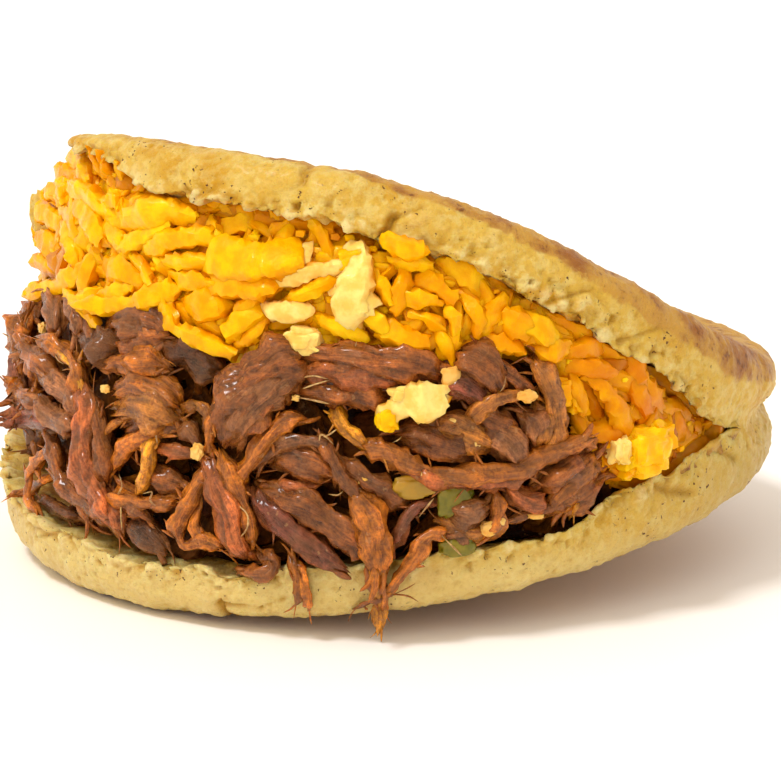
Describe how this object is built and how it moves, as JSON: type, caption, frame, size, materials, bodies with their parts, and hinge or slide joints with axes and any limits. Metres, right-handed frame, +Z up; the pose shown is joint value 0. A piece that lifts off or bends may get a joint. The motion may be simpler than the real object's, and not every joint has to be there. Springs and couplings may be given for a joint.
{
  "type": "filled arepa corn cake",
  "caption": "Round griddled corn cake split like a clam and hinged at the back, filled with shredded braised beef under grated yellow cheese.",
  "frame": {"origin": "centre of the whole part in plan, on the surface that it lies on", "axes": "+Z up, +X to the right of the open front as the picture shows it, +Y to the back; the two halves hang together in the direction 36 degrees from +X towards +Y"},
  "size_m": [0.1228, 0.1249, 0.0684],
  "materials": {
    "corn_bread": "moist, grainy corn crumb, toasted brown on the two faces",
    "braised_beef": "fibrous and moist with a slight shine",
    "yellow_cheese": "waxy, softly shining",
    "green_pepper": "wet cooked skin",
    "stewed_onion": "wet and slightly see-through"
  },
  "bodies": {
    "root": {"arepa": "corn_bread", "shredded_beef": "braised_beef", "shredded_cheese": "yellow_cheese", "cheese_crumb": "yellow_cheese", "pepper_piece_1": "green_pepper", "pepper_piece_2": "green_pepper", "onion_piece": "stewed_onion"}
  },
  "joints": []
}
